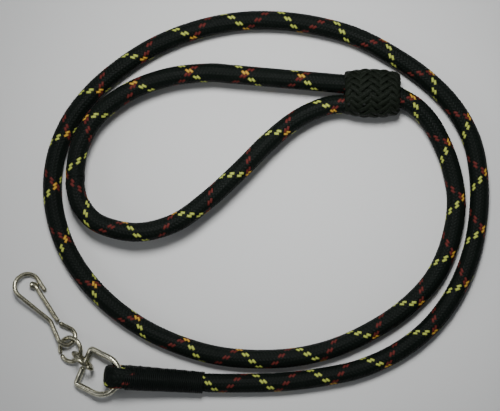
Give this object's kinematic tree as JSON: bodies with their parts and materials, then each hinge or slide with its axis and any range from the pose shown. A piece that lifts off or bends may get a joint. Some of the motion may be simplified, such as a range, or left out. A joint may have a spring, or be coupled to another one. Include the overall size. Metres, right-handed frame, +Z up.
{
  "type": "whistle lanyard",
  "caption": "Braided cord neck lanyard laid in a coil, with a sliding woven knot on its loop and a ring-linked wire snap hook.",
  "frame": {"origin": "centre of the laid-out lanyard's footprint, on the surface it lies on", "axes": "+X along the longer side of the laid-out lanyard, +Z up from the surface"},
  "size_m": [0.198, 0.1605, 0.015],
  "materials": {
    "braided_sheath": "tightly braided polyester sheath, dark green with yellow and dark red marker strands",
    "core_yarn": "loose parallel white yarns",
    "whipping_twine": "thin waxed dark twine",
    "knot_lace": "dark green braided lace woven in a herringbone",
    "plated_d_ring": "nickel-plated steel wire",
    "plated_wire": "nickel-plated spring steel wire, slightly dulled"
  },
  "bodies": {
    "cord": {"cord_sheath": "braided_sheath", "cord_core": "core_yarn", "cord_eye": "braided_sheath", "whipping_tail": "braided_sheath", "end_whipping": "whipping_twine"},
    "slider": {"knot_lace": "knot_lace", "knot_stitches": "whipping_twine", "loop_end_sheath": "braided_sheath", "loop_end_core": "core_yarn", "loop_sheath": "braided_sheath", "loop_core": "core_yarn"},
    "d_ring": {"d_ring": "plated_d_ring"},
    "bar_ring": {"bar_ring": "plated_wire"},
    "hook_ring": {"hook_ring": "plated_wire"},
    "hook": {"hook_wire_frame": "plated_wire"},
    "gate": {"hook_gate": "plated_wire"}
  },
  "joints": [
    {"name": "knot_slide", "type": "slide", "parent": "cord", "child": "slider", "axis": [-0.9962, 0.0872, 0], "range_m": [0, 0.03], "deforming": ["loop_sheath", "loop_core"]},
    {"name": "d_ring_swing", "type": "hinge", "parent": "cord", "child": "d_ring", "pos_m": [-0.0545, -0.0705, 0.0072], "axis": [0.0785, 0.9969, 0], "range_deg": [0, 105]},
    {"name": "bar_ring_swing", "type": "hinge", "parent": "d_ring", "child": "bar_ring", "pos_m": [-0.06897, -0.06472, 0.00377], "axis": [0.3982, 0.9142, 0.0751], "range_deg": [0, 50]},
    {"name": "hook_ring_swing", "type": "hinge", "parent": "bar_ring", "child": "hook_ring", "pos_m": [-0.07323, -0.06102, 0.00382], "axis": [-0.3142, 0.2731, 0.9092], "range_deg": [-20, 20]},
    {"name": "hook_swing", "type": "hinge", "parent": "hook_ring", "child": "hook", "pos_m": [-0.07635, -0.05469, 0.00284], "axis": [0.8955, 0.1822, 0.4061], "range_deg": [0, 50]},
    {"name": "gate_flex", "type": "hinge", "parent": "hook", "child": "gate", "pos_m": [-0.08013, -0.04849, 0.00255], "axis": [0.3519, 0.2562, 0.9003], "range_deg": [0, 12], "stiffness_Nm_per_rad": 0.05, "springref_deg": -5.73}
  ]
}
